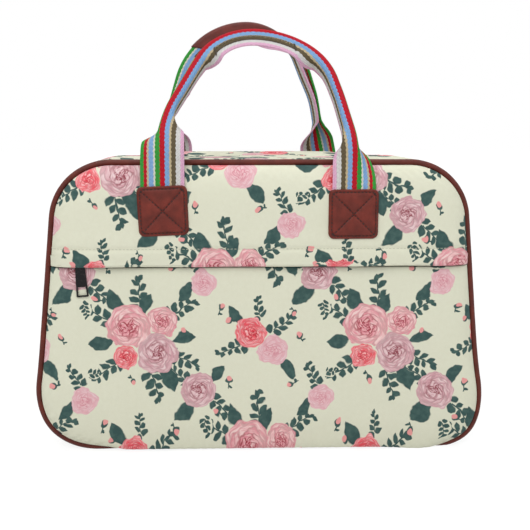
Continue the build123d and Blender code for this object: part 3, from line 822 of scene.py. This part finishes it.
strap = {
    "lowerEnd": 66.75, "bendRadius": 40.0, "rim": 284.0,
    "width": 38.0, "thickness": 1.9, "foldRadius": 1.4, "foldMiddle": 0.44,
    "Front": {
        "halfSpan": 87.0, "middle": -3.0, "rise": 126.45, "top": -2.6, "tip": 32.0,
        "crown": panels["frontCrown"],
        # lean of each leg, where it kinks and with what radius
        "first": (33.7, 19.0, 71.0), "second": (22.6, -2.0, 186.0),
        "foldRise": (34.0, 118.0), "gripFold": 0.405},
    "Back": {
        "halfSpan": 84.0, "middle": 3.5, "rise": 128.2, "top": 3.0, "tip": 4.0,
        "crown": panels["backCrown"],
        "first": (22.3, -32.5, 144.0), "second": (15.45, 18.85, 69.8),
        "foldRise": (0.0, 60.0), "gripFold": 0.437},
    # rise above the rim, then how far the inner edge is turned behind, where across the
    # webbing it turns, and how far the outer half is folded behind
    "folds": {
        "Front first": (
            (-30, 0, 0.84, 0), (-12, 2, 0.84, 2), (-4, 4, 0.83, 5), (4, 4, 0.82, 10), (9, 6, 0.81, 14),
            (14, 8, 0.80, 22), (20, 14, 0.80, 42), (25, 26, 0.79, 74), (31, 56, 0.78, 84),
            (36, 86, 0.73, 90), (41, 104, 0.68, 94), (46, 100, 0.64, 98), (54, 92, 0.62, 100),
            (88, 90, 0.64, 104), (100, 84, 0.64, 106), (106, 40, 0.70, 130), (112, -10, 0.78, 162),
            (120, -16, 0.80, 192)),
        "Front second": (
            (-30, 0, 0.85, 0), (-20, 0, 0.85, 8), (-12, 6, 0.85, 24), (-4, 26, 0.84, 42), (2, 56, 0.83, 62),
            (8, 92, 0.81, 76), (13, 106, 0.76, 84), (20, 96, 0.70, 90), (32, 90, 0.62, 98),
            (62, 90, 0.60, 100), (90, 90, 0.62, 104), (100, 84, 0.64, 106), (106, 40, 0.70, 130),
            (112, -10, 0.78, 162), (120, -16, 0.80, 192)),
        "Back first": (
            (-28, 0, 0.84, 0), (-4, 4, 0.84, 4), (4, 12, 0.80, 10), (9, 24, 0.74, 20), (15, 48, 0.66, 40),
            (22, 80, 0.56, 62), (29, 104, 0.50, 74), (36, 106, 0.50, 76), (50, 106, 0.50, 74),
            (64, 108, 0.52, 70), (78, 110, 0.54, 66), (98, 108, 0.54, 64), (114, 50, 0.54, 128),
            (124, 6, 0.60, 172)),
        "Back second": (
            (-28, 0, 0.84, 0), (-4, 6, 0.84, 6), (4, 14, 0.82, 16), (9, 26, 0.80, 30), (15, 46, 0.74, 48),
            (22, 76, 0.64, 66), (29, 100, 0.56, 78), (38, 96, 0.52, 84), (50, 70, 0.52, 108),
            (64, 30, 0.56, 146), (80, 12, 0.60, 166), (124, 6, 0.62, 172)),
    },
    "gripHalf": 50.0, "gripWall": 1.25, "gripSlant": 5.5, "gripRows": 90,
    # zigzag seam on the leaf in front of the grip: places across, half its length
    "seam": (0.705, 0.815), "seamHalf": 26.0, "seamAcross": (0.68, 0.84),
}


def legLine(side, leg, step):
    # one leg's middle line from its lower end to the top: x, rise, heading and length
    handle = strap[side]
    top = handle["top"] if leg == "first" else -handle["top"]
    lean, kinkPlace, kinkRadius = handle[leg]
    lean = radians(lean)
    span = handle["halfSpan"] + top
    peak = handle["rise"]
    kinkX = span - kinkRadius * (1 - cos(lean))
    kinkRise = kinkPlace + kinkRadius * sin(lean)
    radius = (kinkX * cos(lean) + (kinkRise - peak) * sin(lean)) / (1 - sin(lean))
    straight = ((peak - radius + radius * sin(lean)) - kinkRise) / cos(lean)
    x, rise, heading, run = -span, -strap["lowerEnd"], 0.0, 0.0
    stations = [(x, rise, heading, run)]
    for length, turn in ((strap["lowerEnd"] + kinkPlace, 0.0), (kinkRadius * lean, lean),
                         (straight, 0.0), (radius * (pi / 2 - lean), pi / 2 - lean)):
        steps = max(2, round(length / step))
        for _ in range(steps):
            heading += turn / steps / 2
            x += length / steps * sin(heading)
            rise += length / steps * cos(heading)
            heading += turn / steps / 2
            run += length / steps
            stations.append((x, rise, heading, run))
    stations = np.array(stations)
    stations[:, 0] += top - x * np.maximum(0.0, stations[:, 1]) / rise
    return stations


def archLine(side, step=1.6):
    first, second = legLine(side, "first", step), legLine(side, "second", step)[-2::-1]
    second = np.stack([-second[:, 0], second[:, 1], pi - second[:, 2],
                       first[-1, 3] + second[0, 3] - second[:, 3]], axis=-1)
    return np.concatenate([first, second]), len(first)


def strapFrames(side, line):
    # place, outward and front direction of the webbing along the handle
    handle = strap[side]
    tip = radians(handle["tip"])
    rise, heading = line[:, 1], line[:, 2]
    bend = strap["bendRadius"]
    angle = np.clip(rise / bend, 0.0, tip)
    beyond = np.maximum(0.0, rise - bend * tip)
    y = bend * (1 - np.cos(angle)) + beyond * sin(tip) - bodyShape["panelFace"] - handle["crown"]
    z = strap["rim"] + np.minimum(rise, 0.0) + bend * np.sin(angle) + beyond * cos(tip)
    zero = 0 * rise
    up = np.stack([zero, np.sin(angle), np.cos(angle)], axis=-1)
    right = np.stack([zero + 1.0, zero, zero], axis=-1)
    along = right * np.sin(heading)[:, None] + up * np.cos(heading)[:, None]
    outward = up * np.sin(heading)[:, None] - right * np.cos(heading)[:, None]
    return np.stack([line[:, 0] + handle["middle"], y, z], axis=-1), outward, np.cross(along, outward)


def foldAt(side, leg, rise):
    style = strap["folds"][side + " " + leg]
    rises = [s[0] for s in style]
    inner, place, outer = [float(np.interp(rise, rises, [s[i] for s in style])) for i in (1, 2, 3)]
    return radians(inner), place, radians(outer), float(smooth(rise, *strap[side]["foldRise"]))


def strapSection(fold, u):
    # middle line of the webbing's section: places outwards and forwards, and its heading
    inner, bendPlace, outer, share = fold
    width = strap["width"]
    halfArc = pi * strap["foldRadius"] / 2 / width
    start = strap["foldMiddle"] + halfArc
    fine = np.linspace(0, 1, 161)
    folded = np.clip((start - fine) / (2 * halfArc), 0.0, 1.0) * outer
    heading = np.where(fine < start, folded, -inner * smooth(fine, bendPlace - 0.09, bendPlace + 0.09))
    steps = (heading[1:] + heading[:-1]) / 2
    x = np.concatenate([[0], -np.cumsum(np.cos(steps))]) * width / 160
    y = np.concatenate([[0], np.cumsum(np.sin(steps))]) * width / 160
    # the fold moves outwards up the leg, until the folded webbing lies over the handle's line
    middle = np.searchsorted(fine, start)
    x += -width / 2 + share * width / 4 + width * (1 - start) - x[middle]
    y += strap["thickness"] / 2 - y[middle]
    return np.interp(u, fine, x), np.interp(u, fine, y), np.interp(u, fine, heading)


def sectionLoop(fold, u, low, high):
    # a closed section between two distances from the webbing's middle line, round at its ends
    x, y, heading = strapSection(fold, u)
    normalX, normalY = np.sin(heading), np.cos(heading)
    half, middle = (high - low) / 2, (high + low) / 2
    loopX = [x + high * normalX, x[::-1] + low * normalX[::-1]]
    loopY = [y + high * normalY, y[::-1] + low * normalY[::-1]]
    caps = []
    for end, sign in ((-1, 1), (0, -1)):
        capX, capY = [], []
        for angle in (pi / 4, pi / 2, 3 * pi / 4):
            lift, out = middle + sign * cos(angle) * half, sign * sin(angle) * half
            capX.append(x[end] + lift * normalX[end] + out * normalY[end])
            capY.append(y[end] + lift * normalY[end] - out * normalX[end])
        caps.append((capX, capY))
    return (np.concatenate([loopX[0], caps[0][0], loopX[1], caps[1][0]]),
            np.concatenate([loopY[0], caps[0][1], loopY[1], caps[1][1]]),
            np.concatenate([u, [u[-1]] * 3, u[::-1], [u[0]] * 3]))


def turnedBy(side):
    return np.array([1.0, 1.0, 1.0]) if side == "Front" else np.array([-1.0, -1.0, 1.0])


def resampled(part, runs, wanted):
    # each column of a band at its own lengths along the handle
    columns = [[np.interp(wanted[:, j], runs, part[:, j, axis]) for j in range(part.shape[1])]
               for axis in range(part.shape[2])]
    return np.array(columns).transpose(2, 1, 0)


def alongStrap(side, us, low, high, reach=None):
    # rows of points of a band that follows the folded webbing, and their coordinates
    line, count = archLine(side)
    places, outward, front = strapFrames(side, line)
    rows, marks = [], []
    for i, station in enumerate(line):
        fold = foldAt(side, "first" if i < count else "second", station[1])
        x, y, u = sectionLoop(fold, us, low, high)
        rows.append(places[i] + outward[i] * x[:, None] + front[i] * y[:, None])
        marks.append(np.stack([u, np.full_like(u, station[3] * mm)], axis=-1))
    rows, marks = np.stack(rows), np.stack(marks)
    if reach:
        # only the stretch around the top, with slanting ends
        middle, slant = line[count - 1, 3], strap["gripSlant"]
        share = np.linspace(-1, 1, strap["gripRows"])[:, None]
        wanted = middle + share * (reach + slant * (marks[0, :, 0] - 0.2) / 0.2)
        rows, marks = [resampled(part, line[:, 3], wanted) for part in (rows, marks)]
    return rows * turnedBy(side), marks


def makeHandle(side):
    us = np.concatenate([np.linspace(1, 0.56, 14), np.linspace(0.54, 0.36, 9), np.linspace(0.34, 0, 10)])
    half = strap["thickness"] / 2
    points, marks = alongStrap(side, us, -half, half)
    addObject("handle" + side, gridMesh("handle" + side, points, marks, closed=True), stripedWebbing,
              replaced=["handle_" + side.lower()])
    # leather on the outer half, which is folded behind
    us = np.linspace(strap[side]["gripFold"], 0.012, 18)
    points, marks = alongStrap(side, us, half + 0.05, half + strap["gripWall"], strap["gripHalf"])
    mesh = gridMesh("grip" + side, points, marks, closed=True)
    capEnds(mesh, len(points), points.shape[1])
    addObject("grip" + side, mesh, gripLeather, replaced=["grip_" + side.lower()])


def capEnds(mesh, rows, columns):
    # close both ends of a band
    net = bmesh.new()
    net.from_mesh(mesh)
    net.verts.ensure_lookup_table()
    net.faces.new([net.verts[i] for i in range(columns)][::-1])
    net.faces.new([net.verts[(rows - 1) * columns + i] for i in range(columns)])
    net.to_mesh(mesh)
    net.free()


makeHandle("Front")
makeHandle("Back")
print("handles made")


# Leather patches over the ends of the webbing

patch = {
    "half": 22.75, "corner": 5.5, "height": 234.0, "inset": 2.6, "wing": 1.6, "lift": 1.7,
    "puff": 1.0, "groove": 0.5, "rings": 44, "around": 176,
    # each patch's own small turn in degrees
    "drops": {"front_right": -3.3},
    "turns": {"front_left": 2.4, "front_right": 0.3, "back_left": -1.2, "back_right": 1.0},
}


def roundedSquare(count):
    # points around a square of half width 1 with round corners, from the middle of its right side
    corner = patch["corner"] / patch["half"]
    flat = 1 - corner
    sides = []
    for quarter in range(4):
        turn = np.linspace(-pi / 4, pi / 4, count // 4, endpoint=False)
        y = np.tan(turn)
        x = np.ones_like(y)
        over = np.abs(y) > flat
        # beyond the straight part the point moves onto the corner's arc
        share = (np.abs(y) - flat) / corner * pi / 4
        x = np.where(over, flat + corner * np.cos(share), x)
        y = np.where(over, np.sign(y) * (flat + corner * np.sin(share)), y)
        c, s = cos(quarter * pi / 2), sin(quarter * pi / 2)
        sides.append(np.stack([x * c - y * s, x * s + y * c], axis=-1))
    return np.concatenate(sides)


def patchHeight(x, z, edge):
    # how far the leather stands out of the cloth; edge is the distance from the patch's edge
    overWebbing = (1 - smooth(np.abs(x), 20.6, 22.6)) * smooth(z, -21.5, -18.0)
    diagonal = np.abs(np.abs(x) - np.abs(z)) / 2 ** 0.5
    inside = edge - patch["inset"]
    puff = (1 - np.exp(-diagonal / 3.4)) * (1 - np.exp(-np.maximum(inside, 0) / 3.0))
    cross = np.exp(-(diagonal / 0.8) ** 2) * smooth(inside, -0.6, 0.4)
    seam = np.exp(-(inside / 0.8) ** 2)
    return (patch["wing"] + patch["lift"] * overWebbing + patch["puff"] * puff
            - patch["groove"] * np.maximum(cross * 0.8, seam))


def makePatch(side, place):
    name = side + "_" + place
    border = roundedSquare(patch["around"])
    shares = np.concatenate([np.linspace(0.01, 0.8, patch["rings"] - 18), np.linspace(0.82, 1.0, 18)])
    flat = border[None] * shares[:, None, None] * patch["half"]
    x, z = flat[..., 0], flat[..., 1]
    edge = np.repeat((1 - shares)[:, None], border.shape[0], axis=1) * patch["half"]
    height = patchHeight(x, z, edge) - 0.5 * (1 - smooth(edge, 0.0, 0.7))
    # a wall down to the cloth
    wall = flat[-1] * 1.006
    x = np.concatenate([x, wall[None, :, 0], wall[None, :, 0]])
    z = np.concatenate([z, wall[None, :, 1], wall[None, :, 1]])
    height = np.concatenate([height, np.full((1, len(wall)), 0.55), np.full((1, len(wall)), -0.3)])
    points = patchPlace(side, place, x, z, height)
    mesh = gridMesh("patch_" + name, points, closed=True)
    addObject("patch_" + name, mesh, brownLeather, replaced=["patch_" + name])


def patchPlace(side, place, x, z, height):
    # from a patch's own plane to the bag
    turn = radians(patch["turns"][side + "_" + place])
    left = -1.0 if place == "left" else 1.0
    crown = panels["frontCrown" if side == "front" else "backCrown"]
    handle = strap[side.title()]
    across = x * cos(turn) - z * sin(turn) + left * handle["halfSpan"] + handle["middle"]
    up = x * sin(turn) + z * cos(turn) + patch["height"] + patch["drops"].get(side + "_" + place, 0.0)
    points = np.stack([across, -(bodyShape["panelFace"] + crown + height), up], axis=-1)
    return points * turnedBy(side.title())


for side in ("front", "back"):
    for place in ("left", "right"):
        makePatch(side, place)
print("patches made")


# Stitches

def stitchTree():
    # small stitches along lines, each a capsule of thread
    tree = bpy.data.node_groups.new("stitchRow", "GeometryNodeTree")
    tree.interface.new_socket("Geometry", in_out="INPUT", socket_type="NodeSocketGeometry")
    for name, kind, value in (
            ("Pitch", "NodeSocketFloat", 0.003), ("Stitch Length", "NodeSocketFloat", 0.002),
            ("Thread Radius", "NodeSocketFloat", 0.0003), ("Slant", "NodeSocketFloat", 0.0),
            ("Seed", "NodeSocketInt", 1)):
        socket = tree.interface.new_socket(name, in_out="INPUT", socket_type=kind)
        socket.default_value = value
    tree.interface.new_socket("Thread", in_out="INPUT", socket_type="NodeSocketMaterial")
    tree.interface.new_socket("Geometry", in_out="OUTPUT", socket_type="NodeSocketGeometry")
    start = tree.nodes.new("NodeGroupInput")
    given = {name: Wire(tree, start.outputs[name]) for name in (
        "Geometry", "Pitch", "Stitch Length", "Thread Radius", "Slant", "Seed", "Thread")}
    curve = addNode(tree, "GeometryNodeMeshToCurve", {"Mesh": given["Geometry"]})
    spaced = addNode(tree, "GeometryNodeResampleCurve", {"Curve": curve, "Length": given["Pitch"]},
                     mode="LENGTH")
    capsule = addNode(tree, "GeometryNodeMeshUVSphere", {"Segments": 8, "Rings": 8, "Radius": 1.0})
    size = combined(given["Thread Radius"], given["Thread Radius"], given["Stitch Length"] * 0.5)
    shaped = addNode(tree, "GeometryNodeTransform", {"Geometry": capsule, "Scale": size})
    tangent = addNode(tree, "GeometryNodeInputTangent")
    turn = addNode(tree, "FunctionNodeAlignRotationToVector", {"Vector": tangent}, axis="Z")
    wobble = addNode(tree, "FunctionNodeRandomValue",
                     {"Min": (-0.12, -0.12, 0.0), "Max": (0.12, 0.12, 0.0), "Seed": given["Seed"]},
                     data_type="FLOAT_VECTOR")
    slant = vectorMath("ADD", wobble, combined(0.0, given["Slant"]))
    turned = addNode(tree, "FunctionNodeRotateRotation", {
        "Rotation": turn, "Rotate By": addNode(tree, "FunctionNodeEulerToRotation", [slant])},
        rotation_space="LOCAL")
    placed = addNode(tree, "GeometryNodeInstanceOnPoints",
                     {"Points": spaced, "Instance": shaped, "Rotation": turned})
    real = addNode(tree, "GeometryNodeRealizeInstances", [placed])
    smoothed = addNode(tree, "GeometryNodeSetShadeSmooth", [real])
    finished = addNode(tree, "GeometryNodeSetMaterial",
                       {"Geometry": smoothed, "Material": given["Thread"]})
    addNode(tree, "NodeGroupOutput", [finished])
    return tree


stitchRow = stitchTree()


def makeStitches(name, lines, thread, pitch=3.2, length=2.2, radius=0.32, slant=0.0, seed=1):
    # lines: lists of points in mm that the stitches follow
    points, edges = [], []
    for line in lines:
        edges += [(len(points) + i, len(points) + i + 1) for i in range(len(line) - 1)]
        points += [tuple(np.asarray(point) * mm) for point in line]
    base = bpy.data.meshes.new(name + "Line")
    base.from_pydata(points, edges, [])
    carrier = bpy.data.objects.new(name + "Line", base)
    bpy.context.scene.collection.objects.link(carrier)
    rows = carrier.modifiers.new("stitches", "NODES")
    rows.node_group = stitchRow
    values = {"Pitch": pitch * mm, "Stitch Length": length * mm, "Thread Radius": radius * mm,
              "Slant": slant, "Seed": seed, "Thread": thread}
    for item in stitchRow.interface.items_tree:
        if item.in_out == "INPUT" and item.name in values:
            rows[item.identifier] = values[item.name]
    graph = bpy.context.evaluated_depsgraph_get()
    mesh = bpy.data.meshes.new_from_object(carrier.evaluated_get(graph), depsgraph=graph)
    mesh.name = name
    bpy.data.objects.remove(carrier)
    return addObject(name, mesh, None)


def patchStitches(side, place):
    border = roundedSquare(patch["around"])
    border = np.concatenate([border, border[:1]]) * (patch["half"] - patch["inset"])
    reach = np.linspace(-1, 1, 60) * (patch["half"] - patch["inset"] - 1.6)
    lines = []
    for x, z in ((border[:, 0], border[:, 1]), (reach, reach), (reach, -reach)):
        edge = patch["half"] - np.maximum(np.abs(x), np.abs(z))
        lines.append(patchPlace(side, place, x, z, patchHeight(x, z, edge) + 0.3))
    name = "Stitches" + side.title() + place.title()
    makeStitches("patch" + name, lines, brownThread, 3.3, 2.3, 0.5)


for side in ("front", "back"):
    for place in ("left", "right"):
        patchStitches(side, place)

# slanting thread on the front handle's leaf, and a short row across at both its ends
lift = strap["thickness"] / 2 + 0.3
band = alongStrap("Front", np.array(strap["seam"]), 0.0, lift, strap["seamHalf"])[0]
across = alongStrap("Front", np.linspace(*strap["seamAcross"], 8), 0.0, lift, strap["seamHalf"])[0]
for number, (lines, pitch, length, slant) in enumerate((
        ([band[:, 0]], 1.7, 2.6, 0.75), ([band[:, 1]], 1.7, 2.6, -0.75),
        ([across[row, :8] for row in (0, 1, -1, -2)], 1.0, 1.8, 0.0))):
    makeStitches("gripFrontSeam" + str(number), lines, oliveThread,
                 pitch, length, 0.42, slant)

x = np.linspace(-194.0, 194.0, 400)
depth = upperDepth(x, 0 * x + panels["flapStitch"])[0]
flapLine = np.stack([x, -(bodyShape["panelFace"] + depth + 0.1), 0 * x + panels["flapStitch"]], axis=-1)
makeStitches("flapStitches", [flapLine], creamThread, 3.4, 2.6, 0.3)
print("stitches made")


# Layers under the cloth, which settle with it

def settledCopy(name, material):
    # a copy of a node's solid, divided finely enough to bend
    net = bmesh.new()
    net.from_mesh(nodes[name].data)
    bmesh.ops.remove_doubles(net, verts=net.verts, dist=1e-6)
    for _ in range(5):
        long = [edge for edge in net.edges if edge.calc_length() > 0.018]
        bmesh.ops.subdivide_edges(net, edges=long, cuts=1)
        bmesh.ops.triangulate(net, faces=[face for face in net.faces if len(face.verts) > 4])
    points = settled(np.array([vert.co for vert in net.verts]) / mm) * mm
    for vert, point in zip(net.verts, points):
        vert.co = point
    mesh = bpy.data.meshes.new(name + "_settled")
    net.to_mesh(mesh)
    net.free()
    addObject(name + "_settled", mesh, material, replaced=[name])


settledCopy("lining", liningCotton)
settledCopy("front_inner_wall", liningCotton)
settledCopy("piping_cord_front", cordCotton)
settledCopy("piping_cord_back", cordCotton)
print("inner layers settled")

# CAD nodes that keep their shape

plainNodes = {"base_board": boardPlastic}
for zipName, halves in (("main_zip_", ("front", "back")), ("pocket_zip_", ("lower", "upper"))):
    for half in halves:
        plainNodes[zipName + "tape_" + half] = zipTape
        plainNodes[zipName + "teeth_" + half] = zipTeeth
        plainNodes[zipName + "top_stop_" + half] = blackMetal
    for part in ("slider", "pull", "bottom_stop"):
        plainNodes[zipName + part] = blackMetal
for name, material in plainNodes.items():
    mesh = nodes[name].data
    mesh.materials.clear()
    mesh.materials.append(material)


# Floor, backdrop and lamps

studio = {
    "worldLight": 0.43,
    "lamps": [  # name, place, aimed at, size, watts
        ("keyLamp", (-0.8, -1.4, 1.8), (0, 0, 0.2), 1.2, 23.0),
        ("fillLamp", (1.2, -1.3, 1.3), (0, 0, 0.2), 1.4, 8.0),
        ("topLamp", (0.1, 0.3, 1.7), (0, 0, 0.2), 1.4, 9.0),
    ],
}


def cameraSees(tree):
    path = addNode(tree, "ShaderNodeLightPath")
    outputs = path.socket.node.outputs
    rays = ("Is Camera Ray", "Is Glossy Ray", "Is Transmission Ray")
    seen = [Wire(tree, outputs[name]) for name in rays]
    return seen[0].calc("MAXIMUM", seen[1]).calc("MAXIMUM", seen[2])


world = bpy.data.worlds.new("studio")
bpy.context.scene.world = world
world.use_nodes = True
world.node_tree.nodes.clear()
tree = world.node_tree
strength = cameraSees(tree) * (1 - studio["worldLight"]) + studio["worldLight"]
addNode(tree, "ShaderNodeOutputWorld", [
    addNode(tree, "ShaderNodeBackground", {"Color": (1, 1, 1, 1), "Strength": strength})])

floorMaterial, tree = newMaterial("floor")
plain = addNode(tree, "ShaderNodeBsdfPrincipled", {
    "Base Color": (0.82, 0.82, 0.82, 1), "Roughness": 0.07, "Specular IOR Level": 0.6})
white = addNode(tree, "ShaderNodeEmission", {"Color": (1, 1, 1, 1), "Strength": 1.16})
share = cameraSees(tree) * 0.74
addNode(tree, "ShaderNodeOutputMaterial", [addNode(tree, "ShaderNodeMixShader", [share, plain, white])])
floorMesh = bpy.data.meshes.new("floor")
floorMesh.from_pydata([(-6, -3, 0), (6, -3, 0), (6, 8, 0), (-6, 8, 0)], [], [(0, 1, 2, 3)])
floorMesh.materials.append(floorMaterial)
floor = bpy.data.objects.new("floor", floorMesh)
bpy.context.scene.collection.objects.link(floor)

for name, place, target, size, watts in studio["lamps"]:
    lamp = bpy.data.objects.new(name, bpy.data.lights.new(name, "AREA"))
    lamp.data.energy = watts
    lamp.data.size = size
    lamp.location = place
    lamp.rotation_euler = (Vector(target) - Vector(place)).to_track_quat("-Z", "Y").to_euler()
    bpy.context.scene.collection.objects.link(lamp)
